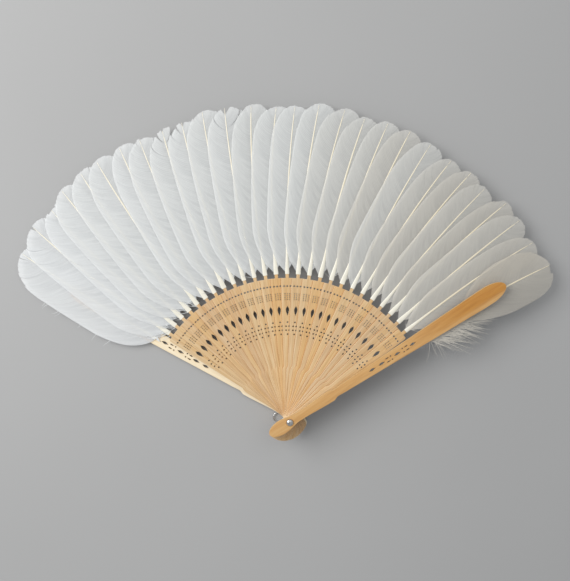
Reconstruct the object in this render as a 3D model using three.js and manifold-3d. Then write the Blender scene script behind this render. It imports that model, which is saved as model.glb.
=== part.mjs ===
// Folding feather fan: pierced bamboo sticks and two guards on one rivet, a feather on every blade.
// Millimetres, +Z up. The fan lies open and flat, the pivot is the Z axis and +Y runs up its middle.
// The origin is on the pivot axis, on the flat outer face of the rivet's rear head.
import * as THREE from 'three';
import { mergeVertices } from 'three/addons/utils/BufferGeometryUtils.js';
import Module from 'manifold-3d';

const wasm = await Module();
wasm.setup();

// Spread of the open fan, in degrees from the middle, positive to the right
const stickCount = 26;
const rearGuardAngle = -58.3;
const rearStickAngle = 4.3;
const rearPitchAngle = 4.013;
const pitchGrowthAngle = 0.01006;
const frontStickAngle = 5.4;

// Rivet
const shankRadius = 1.5;
const pivotClearance = 0.07;
const headRadius = 3;
const headThickness = 0.9;
const headEdge = 0.25;
const domeRadius = 2.65;
const domeHeight = 1.7;
const domeRim = 0.35;
const domeGap = 0.1;
const shankEngagement = 0.9;
const shankFit = 0.05;
const roundSides = 14;
const holeSides = 10;

// Wire loop for a tassel, free on the rivet under the rear guard
const wireDiameter = 0.8;
const loopGap = 0.15;
const loopEyePlay = 0.3;
const loopWidth = 8;
const loopReach = 12;
const loopAngle = 206;

// Sticks: profile from the tail, past the hub and the ogee, to the shoulder
const stickThickness = 0.8;
const stackGap = 0.08;
const tailLength = 18;
const tailHalfWidth = 4.75;
const tailCrown = 9;
const hubHalfWidth = 3.1;
const hubRise = 9;
const bulgeRadius = 40;
const bulgeHalfWidth = 3.75;
const waistRadius = 46.5;
const waistHalfWidth = 3;
const ogeeReturn = 9;
const ogeeHalfWidth = 3.35;
const shoulderRadius = 109.2;
const shoulderHalfWidth = 4.7;
const shoulderRound = 1;
const neckRise = 3;
const neckHalfWidth = 1.25;

// Piercing of a stick, measured down from its shoulder
const lozengeDrop = 25.3;
const lozengeLength = 7.6;
const lozengeWidth = 3;
const ringDrop = 38.7;
const ringPitch = 3.1;
const ringHalfWidth = 1.2;
const dotRadius = 0.6;
const dotSides = 4;

// Tongue of a stick and the hollow quill that is pushed over it
const tongueWidth = 1.4;
const tongueThickness = 0.5;
const tongueLength = 4;
const tongueRoot = 2;
const socketPlay = 0.04;
const socketSidePlay = 0.1;
const socketEndPlay = 0.4;
const quillSeat = 0.1;
const quillWall = 0.11;
const quillSideWall = 0.15;
const quillRound = 0.7;
const quillEdge = 0.1;
const quillFlat = 0.25;

// Guards
const guardThickness = 2;
const guardSeat = 0.3;
const quillBond = 0.05;
const guardTipRadius = 195;
const guardTipRound = 16;
const guardBroadRun = 5;
const guardBroadHalfWidth = 7;
const guardLeafLength = 6;
const guardLeafWidth = 1.9;
const guardLeafRise = 2;
const guardLeafPitch = 14;
const guardLeafLowerPitch = 8.6;
const guardDropLength = 3;
const guardDropWidth = 1.2;
const guardDropSpread = 1.45;
const guardDropOffset = 1.35;
const guardDotOffset = 1.75;

// Feathers
const rearTipRadius = 242;
const frontTipRadius = 232;
const quillLength = 5.5;
const leftVane = 15.5;
const rightVane = 14;
const rearLeftVane = 20;
const frontVane = 20.5;
const rachisBow = 9.5;
const guardRachisBow = 4.5;
const vaneThickness = 0.2;
const leftRiseRatio = 0.17;
const rightRiseRatio = 0.28;
const slimRatio = 0.3;
const vaneTipRatio = 0.68;
const tipBluntRatio = 0.18;
const rachisHalfWidth = 0.45;
const rachisFoot = 0.5;
const rachisTipHeight = 0.24;
const droopRatio = 0.55;
const tipSag = 0.6;
const tiltRatio = 0.05;
const tiltRamp = 25;
const stationRatios = [0, 0.05, 0.13, 0.28, 0.6, 0.82, 0.94, 1];

// Sizes that follow from the ones above
const degree = Math.PI / 180;
const cutOverrun = 1;
const crownHalf = tongueWidth / 2 + socketSidePlay + quillSideWall;
const quillHalfWidth = crownHalf + quillRound;
const quillHeight = tongueThickness + 2 * (socketPlay + quillWall);
const slotPitch = Math.max(quillHeight, stickThickness) + stackGap;
const lastSlot = stickCount + 1;
const neckEnd = shoulderRadius + neckRise;
const quillStart = neckEnd + quillSeat;
const vaneStart = neckEnd + quillLength;
const socketLength = tongueLength - quillSeat + socketEndPlay;
const rearGuardBase = headThickness + wireDiameter + 2 * loopGap;
const rearGuardTop = rearGuardBase + guardThickness;
const firstSlotHeight = rearGuardTop + guardSeat + slotPitch / 2;
const slotHeight = (slot) => firstSlotHeight + slot * slotPitch;
const frontGuardBase = slotHeight(lastSlot) + slotPitch / 2 + guardSeat;
const frontGuardTop = frontGuardBase + guardThickness;
const domeBase = frontGuardTop + domeGap;
const holeRadius = (shankRadius + pivotClearance) / Math.cos(Math.PI / holeSides);
const firstStickAngle = rearGuardAngle + rearStickAngle;
const stickAngle = (index) => firstStickAngle + rearPitchAngle * index + pitchGrowthAngle * index * index;
const frontGuardAngle = stickAngle(stickCount - 1) + frontStickAngle;

// Materials
const paint = (color, roughness, metalness) => new THREE.MeshStandardMaterial({ color, roughness, metalness });
const bamboo = paint(0xd9b07a, 0.55, 0);
const guardBamboo = paint(0xd6a465, 0.5, 0);
const paleBamboo = paint(0xe6cfa4, 0.55, 0);
const plume = paint(0xe9ebee, 0.8, 0);
const silver = paint(0xb9babd, 0.25, 1);
const wireSteel = paint(0xa9abb0, 0.35, 1);

// Closed geometry in and out of the boolean solids
function toSolid(geometry) {
  const bare = geometry.clone();
  bare.deleteAttribute('normal');
  bare.deleteAttribute('uv');
  const merged = mergeVertices(bare, 1e-5);
  const vertProperties = new Float32Array(merged.attributes.position.array);
  const triVerts = new Uint32Array(merged.index.array);
  return new wasm.Manifold(new wasm.Mesh({ numProp: 3, vertProperties, triVerts }));
}

function toGeometry(solid) {
  const mesh = solid.getMesh();
  const geometry = new THREE.BufferGeometry();
  geometry.setAttribute('position', new THREE.BufferAttribute(new Float32Array(mesh.vertProperties), 3));
  geometry.setIndex(new THREE.BufferAttribute(new Uint32Array(mesh.triVerts), 1));
  geometry.computeVertexNormals();
  return geometry;
}

// A flat piece of the given thickness, centred on its own mid-plane
function slab(shape, thickness) {
  const geometry = new THREE.ExtrudeGeometry(shape, { depth: thickness, bevelEnabled: false, curveSegments: 1 });
  return geometry.translate(0, 0, -thickness / 2);
}

// A flat piece with its piercing cut through
function piercedSlab(shape, holes, thickness) {
  let solid = toSolid(slab(shape, thickness));
  for (const hole of holes) {
    solid = solid.subtract(toSolid(slab(hole, thickness + 2 * cutOverrun)));
  }
  return solid;
}

// Regular polygon
function polygonHole(x, y, radius, sides) {
  const points = [];
  for (let i = 0; i < sides; i += 1) {
    const turn = -2 * Math.PI * (i + 0.5) / sides;
    points.push(new THREE.Vector2(x + radius * Math.sin(turn), y + radius * Math.cos(turn)));
  }
  return new THREE.Shape(points);
}

// Leaf pointed at both ends, along the blade
function leafHole(x, y, length, width) {
  const points = [];
  for (const [along, across] of [[-1, 0], [-0.4, 0.8], [0.1, 1], [1, 0], [0.1, -1], [-0.4, -0.8]]) {
    points.push(new THREE.Vector2(x + across * width / 2, y + along * length / 2));
  }
  return new THREE.Shape(points);
}

// Teardrop with its round end towards the given direction along the blade
function dropHole(x, y, length, width, heading) {
  const points = [];
  for (const [along, across] of [[-1, 0], [0.35, 1], [0.95, 0.55], [0.95, -0.55], [0.35, -1]]) {
    points.push(new THREE.Vector2(x + heading * across * width / 2, y + heading * along * length / 2));
  }
  return new THREE.Shape(points);
}

// Right-hand edge shared by sticks and guards: rounded tail, hub, bulge and waist
function ogeeEdge() {
  const edge = [];
  const tailSteps = 4;
  for (let i = 0; i < tailSteps; i += 1) {
    const turn = (Math.PI / 2) * i / tailSteps;
    edge.push([tailHalfWidth * Math.sin(turn), -tailLength + tailCrown * (1 - Math.cos(turn))]);
  }
  const ease = (from, to, steps) => {
    for (let i = 0; i < steps; i += 1) {
      const share = i / steps;
      const smooth = share * share * (3 - 2 * share);
      edge.push([from[0] + (to[0] - from[0]) * smooth, from[1] + (to[1] - from[1]) * share]);
    }
  };
  const tail = [tailHalfWidth, tailCrown - tailLength];
  const hub = [hubHalfWidth, hubRise];
  const bulge = [bulgeHalfWidth, bulgeRadius];
  const waist = [waistHalfWidth, waistRadius];
  const back = [ogeeHalfWidth, waistRadius + ogeeReturn];
  ease(tail, hub, 2);
  ease(hub, bulge, 2);
  ease(bulge, waist, 3);
  ease(waist, back, 2);
  edge.push(back);
  return edge;
}

// Closed outline from its right-hand edge, mirrored to the left
function mirroredShape(edge) {
  const right = edge.map(([x, y]) => new THREE.Vector2(x, y));
  const left = edge.filter(([x]) => x > 1e-6).map(([x, y]) => new THREE.Vector2(-x, y)).reverse();
  return new THREE.Shape(right.concat(left));
}

// One pierced stick with the tongue that carries its feather
function stickGeometry() {
  const edge = ogeeEdge();
  edge.push([shoulderHalfWidth, shoulderRadius - shoulderRound]);
  edge.push([shoulderHalfWidth - shoulderRound, shoulderRadius]);
  edge.push([neckHalfWidth, shoulderRadius]);
  edge.push([neckHalfWidth, neckEnd]);
  const holes = [polygonHole(0, 0, holeRadius, holeSides)];
  holes.push(leafHole(0, shoulderRadius - lozengeDrop, lozengeLength, lozengeWidth));
  const ring = shoulderRadius - ringDrop;
  for (const row of [-1.5, 1.5]) {
    holes.push(polygonHole(0, ring + row * ringPitch, dotRadius, dotSides));
  }
  for (const row of [-0.5, 0.5]) {
    holes.push(polygonHole(-ringHalfWidth, ring + row * ringPitch, dotRadius, dotSides));
    holes.push(polygonHole(ringHalfWidth, ring + row * ringPitch, dotRadius, dotSides));
  }
  const tongue = new THREE.BoxGeometry(tongueWidth, tongueRoot + tongueLength, tongueThickness);
  tongue.translate(0, neckEnd + (tongueLength - tongueRoot) / 2, 0);
  return toGeometry(piercedSlab(mirroredShape(edge), holes, stickThickness).add(toSolid(tongue)));
}

// One guard, broad towards its rounded tip and pierced with leaves and clusters
function guardGeometry() {
  const edge = ogeeEdge();
  const tipSteps = 4;
  const tipBase = guardTipRadius - guardTipRound;
  edge.push([guardBroadHalfWidth, tipBase - guardBroadRun]);
  for (let i = 0; i <= tipSteps; i += 1) {
    const turn = (Math.PI / 2) * i / tipSteps;
    edge.push([guardBroadHalfWidth * Math.cos(turn), tipBase + guardTipRound * Math.sin(turn)]);
  }
  const holes = [polygonHole(0, 0, holeRadius, holeSides)];
  const topLeaf = shoulderRadius + guardLeafRise;
  for (const row of [0, 1, 2]) {
    const leaf = topLeaf - row * guardLeafPitch;
    holes.push(leafHole(0, leaf, guardLeafLength, guardLeafWidth));
  }
  const lowLeaf = topLeaf - 2 * guardLeafPitch - guardLeafLowerPitch;
  holes.push(leafHole(0, lowLeaf, guardLeafLength, guardLeafWidth));
  for (const row of [0, 1]) {
    const heading = row === 0 ? 1 : -1;
    const cluster = topLeaf - (row + 0.5) * guardLeafPitch;
    for (const side of [-1, 1]) {
      const x = side * guardDropSpread;
      holes.push(dropHole(x, cluster + heading * guardDropOffset, guardDropLength, guardDropWidth, heading));
      holes.push(polygonHole(x, cluster - heading * guardDotOffset, dotRadius, dotSides));
    }
  }
  return toGeometry(piercedSlab(mirroredShape(edge), holes, guardThickness));
}

// Height of a feather's mid-plane: the stack closes up towards the tips and every vane leans alike
function featherHeight(slot, side, along) {
  const radius = Math.hypot(side, along);
  const share = Math.max(0, (radius - vaneStart) / (rearTipRadius - vaneStart));
  const lift = slotHeight(slot) - slotHeight(0);
  const ramp = Math.min(1, Math.max(0, (radius - vaneStart) / tiltRamp));
  const droop = (lift * droopRatio + tipSag) * share * share;
  return -droop - tiltRatio * ramp * ramp * (3 - 2 * ramp) * side;
}

// Share of the full vane width along the vane, from its slanted start to the blunt tip
function vaneShare(share, rise) {
  if (share < rise) {
    return 1 - (1 - share / rise) ** 1.6;
  }
  if (share > vaneTipRatio) {
    const rest = (share - vaneTipRatio) / (1 - vaneTipRatio);
    return Math.sqrt(1 - rest * rest * (1 - tipBluntRatio * tipBluntRatio));
  }
  return 1;
}

// One feather lofted from its quill to its tip, its rachis bowing to the right
// A hollow quill takes a stick's tongue; seats are the extra depth of a quill laid on a guard
function featherGeometry(slot, { leftWidth, rightWidth, bow, hollow = false, seatBelow = 0, seatAbove = 0 }) {
  const tipDrop = (rearTipRadius - frontTipRadius) * (slot / lastSlot) ** 2;
  const tip = rearTipRadius - tipDrop;
  const rings = [];
  const addRing = (along, shift, left, right, inset, half, foot, crown, edge, under) => {
    const step = Math.max(edge, crown - foot);
    const corners = [
      [-left, edge], [-half - foot, step], [-half, crown], [half, crown], [half + foot, step], [right, edge],
      [right - inset, -under], [inset - left, -under],
    ];
    rings.push(corners.map(([across, up]) => {
      const side = across + shift;
      return [side, along, up + featherHeight(slot, side, along)];
    }));
  };
  const quillCrown = quillHeight / 2 + seatAbove;
  const quillUnder = quillHeight / 2 + seatBelow;
  const quillFoot = quillRound - quillFlat;
  const quill = [quillHalfWidth, quillHalfWidth, quillFlat, crownHalf, quillFoot, quillCrown, quillEdge, quillUnder];
  addRing(quillStart, 0, ...quill);
  addRing(vaneStart, 0, ...quill);
  for (const station of stationRatios.slice(1)) {
    const along = vaneStart + (tip - vaneStart) * station;
    const left = quillHalfWidth + (leftWidth - quillHalfWidth) * vaneShare(station, leftRiseRatio);
    const right = quillHalfWidth + (rightWidth - quillHalfWidth) * vaneShare(station, rightRiseRatio);
    const slim = Math.min(1, station / slimRatio);
    const half = crownHalf + (rachisHalfWidth - crownHalf) * slim;
    const foot = quillFoot + (rachisFoot - quillFoot) * slim;
    const crown = quillCrown + (rachisTipHeight - vaneThickness / 2 - quillCrown) * station;
    addRing(along, bow * station * station, left, right, 0, half, foot, crown, vaneThickness / 2, vaneThickness / 2);
  }
  return loft(rings, hollow ? [socketRing(quillStart), socketRing(quillStart + socketLength)] : []);
}

// Mouth or floor of the socket that takes a stick's tongue
function socketRing(along) {
  const half = tongueWidth / 2 + socketSidePlay;
  const up = tongueThickness / 2 + socketPlay;
  return [[-half, along, up], [half, along, up], [half, along, -up], [-half, along, -up]];
}

// Closed solid through rings of points, with an optional blind socket in its first end
function loft(rings, socket) {
  const count = rings[0].length;
  const last = (rings.length - 1) * count;
  const mouth = rings.length * count;
  const index = [];
  const flatten = (ring) => ring.map(([side, , up]) => new THREE.Vector2(side, up));
  const capHoles = socket.slice(0, 1).map(flatten);
  for (const corners of THREE.ShapeUtils.triangulateShape(flatten(rings[0]), capHoles)) {
    index.push(...corners.map((corner) => (corner < count ? corner : mouth + corner - count)));
  }
  for (let i = 1; i + 1 < count; i += 1) {
    index.push(last, last + i, last + i + 1);
  }
  for (let ring = 0; ring + 1 < rings.length; ring += 1) {
    for (let i = 0; i < count; i += 1) {
      const a = ring * count + i;
      const b = ring * count + (i + 1) % count;
      index.push(a, b, b + count, a, b + count, a + count);
    }
  }
  const sides = socket.length ? socket[0].length : 0;
  for (let i = 0; i < sides; i += 1) {
    const a = mouth + i;
    const b = mouth + (i + 1) % sides;
    index.push(a, b + sides, b, a, a + sides, b + sides);
  }
  for (let i = 1; i + 1 < sides; i += 1) {
    index.push(mouth + sides, mouth + sides + i + 1, mouth + sides + i);
  }
  const geometry = new THREE.BufferGeometry();
  geometry.setAttribute('position', new THREE.Float32BufferAttribute([...rings, ...socket].flat(2), 3));
  geometry.setIndex(index);
  geometry.computeVertexNormals();
  return geometry;
}

// Turned pieces, revolved about the pivot
function turned(profile) {
  const points = profile.map(([radius, height]) => new THREE.Vector2(radius, height));
  return new THREE.LatheGeometry(points, roundSides).rotateX(Math.PI / 2);
}

function rivetPinGeometry() {
  return turned([
    [0, 0], [headRadius - headEdge, 0], [headRadius, headEdge], [headRadius, headThickness],
    [shankRadius, headThickness], [shankRadius, domeBase + shankEngagement], [0, domeBase + shankEngagement],
  ]);
}

function rivetCapGeometry() {
  const bore = shankRadius + shankFit;
  const floor = domeBase + shankEngagement + shankFit;
  const profile = [[0, floor], [bore, floor], [bore, domeBase], [domeRadius, domeBase]];
  const domeSteps = 4;
  for (let i = 0; i <= domeSteps; i += 1) {
    const turn = (Math.PI / 2) * i / domeSteps;
    const height = domeBase + domeRim + (domeHeight - domeRim) * Math.sin(turn);
    profile.push([i === domeSteps ? 0 : domeRadius * Math.cos(turn), height]);
  }
  return turned(profile);
}

// Pear-shaped loop of round wire: a small eye round the shank and a wide far end
function loopGeometry() {
  const eye = shankRadius + loopEyePlay + wireDiameter / 2;
  const wide = (loopWidth - wireDiameter) / 2;
  const far = loopReach - wireDiameter / 2 - wide;
  const lean = Math.asin((wide - eye) / far);
  const height = headThickness + loopGap + wireDiameter / 2;
  const points = [];
  const arc = (centre, radius, from, to, steps) => {
    for (let i = 0; i <= steps; i += 1) {
      const turn = from + (to - from) * i / steps;
      points.push(new THREE.Vector3(centre + radius * Math.cos(turn), radius * Math.sin(turn), height));
    }
  };
  arc(far, wide, -Math.PI / 2 - lean, Math.PI / 2 + lean, 6);
  arc(0, eye, Math.PI / 2 + lean, 3 * Math.PI / 2 - lean, 5);
  const path = new THREE.CatmullRomCurve3(points, true, 'centripetal');
  return new THREE.TubeGeometry(path, 26, wireDiameter / 2, 6, true);
}

// Assembly
const fan = new THREE.Group();

function addMesh(parent, name, geometry, material) {
  const mesh = new THREE.Mesh(geometry, material);
  mesh.name = name;
  parent.add(mesh);
  return mesh;
}

function addBlade(angle) {
  const blade = new THREE.Group();
  blade.rotation.z = -angle * degree;
  fan.add(blade);
  return blade;
}

const guard = guardGeometry();
const rearBlade = addBlade(rearGuardAngle);
const quillBondDepth = guardSeat + (slotPitch - quillHeight) / 2 - quillBond;
addMesh(rearBlade, 'rear_guard', guard, paleBamboo).position.z = rearGuardBase + guardThickness / 2;
const rearFeather = featherGeometry(
  0, { leftWidth: rearLeftVane, rightWidth: rightVane, bow: guardRachisBow, seatBelow: quillBondDepth });
addMesh(rearBlade, 'feather_rear', rearFeather, plume).position.z = slotHeight(0);

const stick = stickGeometry();
for (let index = 0; index < stickCount; index += 1) {
  const blade = addBlade(stickAngle(index));
  const label = String(index + 1).padStart(2, '0');
  const height = slotHeight(index + 1);
  addMesh(blade, `stick_${label}`, stick, bamboo).position.z = height;
  const feather = featherGeometry(
    index + 1, { leftWidth: leftVane, rightWidth: rightVane, bow: rachisBow, hollow: true });
  addMesh(blade, `feather_${label}`, feather, plume).position.z = height;
}

const frontBlade = addBlade(frontGuardAngle);
addMesh(frontBlade, 'front_guard', guard, guardBamboo).position.z = frontGuardBase + guardThickness / 2;
const frontFeather = featherGeometry(
  lastSlot, { leftWidth: frontVane, rightWidth: frontVane, bow: guardRachisBow, seatAbove: quillBondDepth });
addMesh(frontBlade, 'feather_front', frontFeather, plume).position.z = slotHeight(lastSlot);

addMesh(fan, 'rivet_pin', rivetPinGeometry(), silver);
addMesh(fan, 'rivet_cap', rivetCapGeometry(), silver);
const loop = addMesh(fan, 'tassel_loop', loopGeometry(), wireSteel);
loop.rotation.z = loopAngle * degree;

export default fan;
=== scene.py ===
# Feather fan: pierced bamboo blades on one rivet and a barbed white feather on every blade
import math
import random

import bmesh
import bpy
from mathutils import Matrix, Vector


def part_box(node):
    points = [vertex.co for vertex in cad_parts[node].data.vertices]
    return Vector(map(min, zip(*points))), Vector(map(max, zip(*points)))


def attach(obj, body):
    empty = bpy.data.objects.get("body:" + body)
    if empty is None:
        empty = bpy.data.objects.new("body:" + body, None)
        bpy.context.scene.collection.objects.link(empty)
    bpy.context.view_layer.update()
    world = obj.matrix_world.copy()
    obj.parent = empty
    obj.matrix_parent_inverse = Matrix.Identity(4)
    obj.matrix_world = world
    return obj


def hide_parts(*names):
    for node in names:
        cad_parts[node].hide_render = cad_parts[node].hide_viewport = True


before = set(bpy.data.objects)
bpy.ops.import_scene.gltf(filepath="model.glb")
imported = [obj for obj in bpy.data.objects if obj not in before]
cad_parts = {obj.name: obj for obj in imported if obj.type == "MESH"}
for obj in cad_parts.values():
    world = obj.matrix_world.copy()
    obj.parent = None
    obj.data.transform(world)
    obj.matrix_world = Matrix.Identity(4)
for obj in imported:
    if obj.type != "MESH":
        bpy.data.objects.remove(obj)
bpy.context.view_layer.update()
mm = 0.001


# Camera at the photograph's angle, almost straight above the open fan
cameraView = dict(
    spot=(-0.0524, 0.1842, 0.6969),
    ahead=(0.07338, -0.12315, -0.98967),
    up=(0.01504, 0.99237, -0.12237),
    focalPixels=900,
    frameHigh=581,
    sensor=36,
    clipStart=0.01,
)


def makeCamera(look):
    ahead = Vector(look["ahead"]).normalized()
    right = ahead.cross(Vector(look["up"])).normalized()
    up = right.cross(ahead)
    data = bpy.data.cameras.new("fanCamera")
    data.sensor_width = look["sensor"]
    data.lens = look["focalPixels"] * look["sensor"] / look["frameHigh"]
    data.clip_start = look["clipStart"]
    camera = bpy.data.objects.new("fanCamera", data)
    turn = Matrix((right, up, -ahead)).transposed().to_4x4()
    camera.matrix_world = Matrix.Translation(look["spot"]) @ turn
    bpy.context.scene.collection.objects.link(camera)
    bpy.context.scene.camera = camera


makeCamera(cameraView)
print("camera set")


# Places of the blades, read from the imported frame
def bladeAngle(node):
    tipBand = 0.1 * mm
    spots = [vert.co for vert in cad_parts[node].data.vertices]
    reach = max(math.hypot(co.x, co.y) for co in spots)
    far = [co for co in spots if math.hypot(co.x, co.y) > reach - tipBand]
    return math.atan2(sum(co.x for co in far), sum(co.y for co in far))


def midHeight(node):
    low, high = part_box(node)
    return (low.z + high.z) / 2


def bladePlace(node, height):
    return Matrix.Translation((0, 0, height)) @ Matrix.Rotation(-bladeAngle(node), 4, "Z")


stickNodes = sorted(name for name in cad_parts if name.startswith("stick_"))
lastSlot = len(stickNodes) + 1
slotPitch = (midHeight(stickNodes[-1]) - midHeight(stickNodes[0])) / (len(stickNodes) - 1)


# Helpers for meshes and finished pieces
def smoothStep(share):
    share = min(1, max(0, share))
    return share * share * (3 - 2 * share)


def vertsIn(geometry):
    return [item for item in geometry if isinstance(item, bmesh.types.BMVert)]


def edgesIn(geometry):
    return [item for item in geometry if isinstance(item, bmesh.types.BMEdge)]


def edgesAt(verts):
    # every edge that meets these verts, once and in a fixed order
    return list(dict.fromkeys(edge for vert in verts for edge in vert.link_edges))


def edgesWithin(edges, verts):
    return [edge for edge in edges if edge.verts[0] in verts and edge.verts[1] in verts]


def facesAt(verts):
    return {face for vert in verts for face in vert.link_faces}


def finishPiece(bm, name, body, node, materials, place=Matrix(), creaseAngle=40):
    mesh = bpy.data.meshes.new(name)
    bm.to_mesh(mesh)
    bm.free()
    mesh.transform(place)
    for material in materials:
        mesh.materials.append(material)
    mesh.polygons.foreach_set("use_smooth", [True] * len(mesh.polygons))
    mesh.set_sharp_from_angle(angle=math.radians(creaseAngle))
    piece = bpy.data.objects.new(name, mesh)
    bpy.context.scene.collection.objects.link(piece)
    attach(piece, body)
    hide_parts(node)


# Materials
white = (1, 1, 1)


def newMaterial(name):
    material = bpy.data.materials.new(name)
    material.use_nodes = True
    nodes = material.node_tree.nodes
    nodes.clear()
    shader = nodes.new("ShaderNodeBsdfPrincipled")
    output = nodes.new("ShaderNodeOutputMaterial")
    material.node_tree.links.new(shader.outputs["BSDF"], output.inputs["Surface"])
    return material, material.node_tree, shader


def addNode(tree, kind, values=None, **links):
    node = tree.nodes.new(kind)
    for key, value in (values or {}).items():
        if key in node.inputs:
            node.inputs[key].default_value = value
        else:
            setattr(node, key, value)
    for key, socket in links.items():
        tree.links.new(socket, node.inputs[key])
    return node


def rampNode(tree, socket, spots, colours):
    node = addNode(tree, "ShaderNodeValToRGB", Fac=socket)
    elements = node.color_ramp.elements
    while len(elements) < len(spots):
        elements.new(0.5)
    for element, spot, colour in zip(elements, spots, colours):
        element.position = spot
        element.color = (*colour, 1)
    return node.outputs["Color"]


def rangeNode(tree, socket, source, target):
    values = {"From Min": source[0], "From Max": source[1], "To Min": target[0], "To Max": target[1]}
    return addNode(tree, "ShaderNodeMapRange", values, Value=socket).outputs["Result"]


def mixColours(tree, share, first, second, blend="MIX"):
    # a colour mix has its share at input 0, its colours at inputs 6 and 7 and its result at output 2
    node = tree.nodes.new("ShaderNodeMix")
    node.data_type = "RGBA"
    node.blend_type = blend
    for key, value in ((0, share), (6, first), (7, second)):
        if isinstance(value, (int, float)):
            node.inputs[key].default_value = value
        elif isinstance(value, tuple):
            node.inputs[key].default_value = (*value, 1)
        else:
            tree.links.new(value, node.inputs[key])
    return node.outputs[2]


def multiply(tree, first, second):
    return mixColours(tree, 1.0, first, second, "MULTIPLY")


def drawnNoise(tree, place, scale, detail, rough):
    # noise drawn out along a piece's own UV map
    drawn = addNode(tree, "ShaderNodeMapping", {"Scale": (*scale, 1)}, Vector=place)
    values = {"Scale": 1, "Detail": detail, "Roughness": rough}
    return addNode(tree, "ShaderNodeTexNoise", values, Vector=drawn.outputs["Vector"]).outputs["Fac"]


def evenNoise(tree, scale, detail, rough):
    place = addNode(tree, "ShaderNodeTexCoord")
    values = {"Scale": scale, "Detail": detail, "Roughness": rough}
    return addNode(tree, "ShaderNodeTexNoise", values, Vector=place.outputs["Object"]).outputs["Fac"]


def pieceTone(tree):
    return addNode(tree, "ShaderNodeAttribute", {"attribute_name": "tone"}).outputs["Fac"]


def linkRough(tree, shader, socket, limits):
    tree.links.new(rangeNode(tree, socket, (0, 1), limits), shader.inputs["Roughness"])


def linkBump(tree, shader, socket, look):
    values = {"Strength": look["bump"], "Distance": look["bumpReach"]}
    bump = addNode(tree, "ShaderNodeBump", values, Height=socket)
    tree.links.new(bump.outputs["Normal"], shader.inputs["Normal"])


def bambooMaterial(name, look):
    material, tree, shader = newMaterial(name)
    place = addNode(tree, "ShaderNodeUVMap", {"uv_map": "blade"}).outputs["UV"]
    streak = drawnNoise(tree, place, look["fibre"], look["fibreDetail"], look["fibreRough"])
    band = drawnNoise(tree, place, look["band"], look["bandDetail"], look["bandRough"])
    grain = rampNode(tree, streak, look["fibreStops"], (look["dark"], look["mid"], look["pale"]))
    shade = rampNode(tree, band, look["bandStops"], (look["warm"], look["cool"]))
    colour = mixColours(tree, look["bandShare"], grain, shade)
    colour = multiply(tree, colour, rampNode(tree, pieceTone(tree), look["toneStops"], look["tones"]))
    if "amber" in look:
        # an amber stripe towards the tip, short of the pale lower edge
        spot = addNode(tree, "ShaderNodeSeparateXYZ", Vector=place)
        up = rangeNode(tree, spot.outputs["Y"], look["amberFrom"], (0, 1))
        side = rangeNode(tree, spot.outputs["X"], look["amberSide"], (1, 0))
        both = addNode(tree, "ShaderNodeMath", {"operation": "MULTIPLY"})
        tree.links.new(up, both.inputs[0])
        tree.links.new(side, both.inputs[1])
        colour = multiply(tree, colour, mixColours(tree, both.outputs["Value"], white, look["amber"]))
    # painted shade: an ambient occlusion node darkens the colour in the crevices where the blades overlap
    # and inside the piercings
    values = {"samples": look["creviceSamples"], "Distance": look["creviceReach"]}
    crevice = addNode(tree, "ShaderNodeAmbientOcclusion", values)
    paintedCreviceShade = rampNode(tree, crevice.outputs["AO"], look["creviceStops"], (look["creviceShade"], white))
    tree.links.new(multiply(tree, colour, paintedCreviceShade), shader.inputs["Base Color"])
    linkRough(tree, shader, streak, look["rough"])
    linkBump(tree, shader, streak, look)
    shader.inputs["Coat Weight"].default_value = look["coat"]
    shader.inputs["Coat Roughness"].default_value = look["coatRough"]
    return material


bambooLook = dict(
    fibre=(9, 0.35), fibreDetail=4, fibreRough=0.6, fibreStops=(0.28, 0.5, 0.75),
    dark=(0.42, 0.235, 0.092), mid=(0.63, 0.43, 0.214), pale=(0.755, 0.595, 0.385),
    band=(1.6, 0.12), bandDetail=2, bandRough=0.5, bandStops=(0.3, 0.7), bandShare=0.4,
    warm=(0.655, 0.42, 0.188), cool=(0.70, 0.55, 0.366),
    toneStops=(0, 0.45, 1), tones=((0.92, 0.87, 0.86), (1.0, 1.0, 1.0), (1.0, 0.90, 0.74)),
    # the crevice colour is painted shade, laid where the blades overlap
    creviceSamples=8, creviceReach=0.0013, creviceStops=(0.45, 0.85), creviceShade=(0.62, 0.42, 0.26),
    rough=(0.42, 0.58), bump=0.25, bumpReach=0.0001, coat=0.08, coatRough=0.35,
)
cutLook = dict(
    bambooLook, dark=(0.78, 0.57, 0.33), mid=(0.88, 0.71, 0.48), pale=(0.92, 0.80, 0.60),
    # a paler painted shade in the crevices along the cut edges
    warm=(0.88, 0.68, 0.43), cool=(0.91, 0.76, 0.55), creviceShade=(0.80, 0.64, 0.47),
    rough=(0.5, 0.65), coat=0,
)
frontGuardLook = dict(
    bambooLook, fibre=(5, 0.35), coat=0.15,
    dark=(0.435, 0.21, 0.065), mid=(0.60, 0.337, 0.118), pale=(0.69, 0.444, 0.195),
    warm=(0.60, 0.318, 0.10), cool=(0.64, 0.40, 0.174),
    amber=(0.83, 0.65, 0.31), amberFrom=(10, 16), amberSide=(0.15, 0.5),
)
frontEdgeLook = dict(
    cutLook, dark=(0.56, 0.34, 0.14), mid=(0.64, 0.43, 0.205), pale=(0.69, 0.50, 0.265),
    warm=(0.63, 0.40, 0.175), cool=(0.665, 0.47, 0.245),
)
rearGuardLook = dict(
    bambooLook, fibre=(5, 0.35), dark=(0.72, 0.56, 0.35), mid=(0.86, 0.73, 0.52), pale=(0.91, 0.82, 0.66),
    warm=(0.87, 0.71, 0.47), cool=(0.90, 0.79, 0.60),
)


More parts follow.
